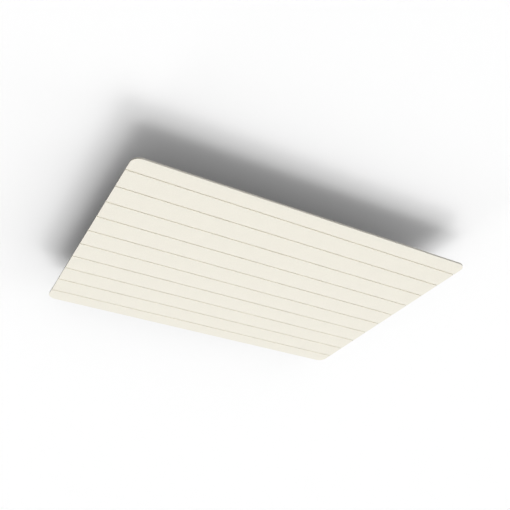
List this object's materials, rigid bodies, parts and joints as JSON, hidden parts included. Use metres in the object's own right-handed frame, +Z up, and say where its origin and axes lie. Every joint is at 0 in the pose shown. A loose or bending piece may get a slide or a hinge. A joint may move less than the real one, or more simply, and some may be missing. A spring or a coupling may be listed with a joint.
{
  "type": "ceiling panel",
  "caption": "Thin grooved felt ceiling panel with rounded corners, stiffened by aluminium channels on its back and hung from tapped hanger nuts.",
  "frame": {"origin": "centre of the visible lower face, which is the lowest face of the part", "axes": "+X along the panel and its grooves, +Y across it, +Z up to the ceiling"},
  "size_m": [1.6, 1.2, 0.0465],
  "materials": {
    "felt": "matte",
    "rail_aluminium": "satin mill finish",
    "plated_steel": "bright zinc plate",
    "dark_steel": "black oxide"
  },
  "bodies": {
    "root": {"acoustic_panel": "felt", "cross_rail_left": "rail_aluminium", "cross_rail_mid_left": "rail_aluminium", "cross_rail_mid_right": "rail_aluminium", "cross_rail_right": "rail_aluminium", "rail_screws": "plated_steel", "carrier_front": "rail_aluminium", "carrier_rear": "rail_aluminium", "crossing_slide_nuts": "plated_steel", "crossing_screws": "plated_steel", "hanger_nut_front_left": "plated_steel", "hanger_nut_front_right": "plated_steel", "hanger_nut_rear_left": "plated_steel", "hanger_nut_rear_right": "plated_steel", "lock_screws": "dark_steel"}
  },
  "joints": []
}
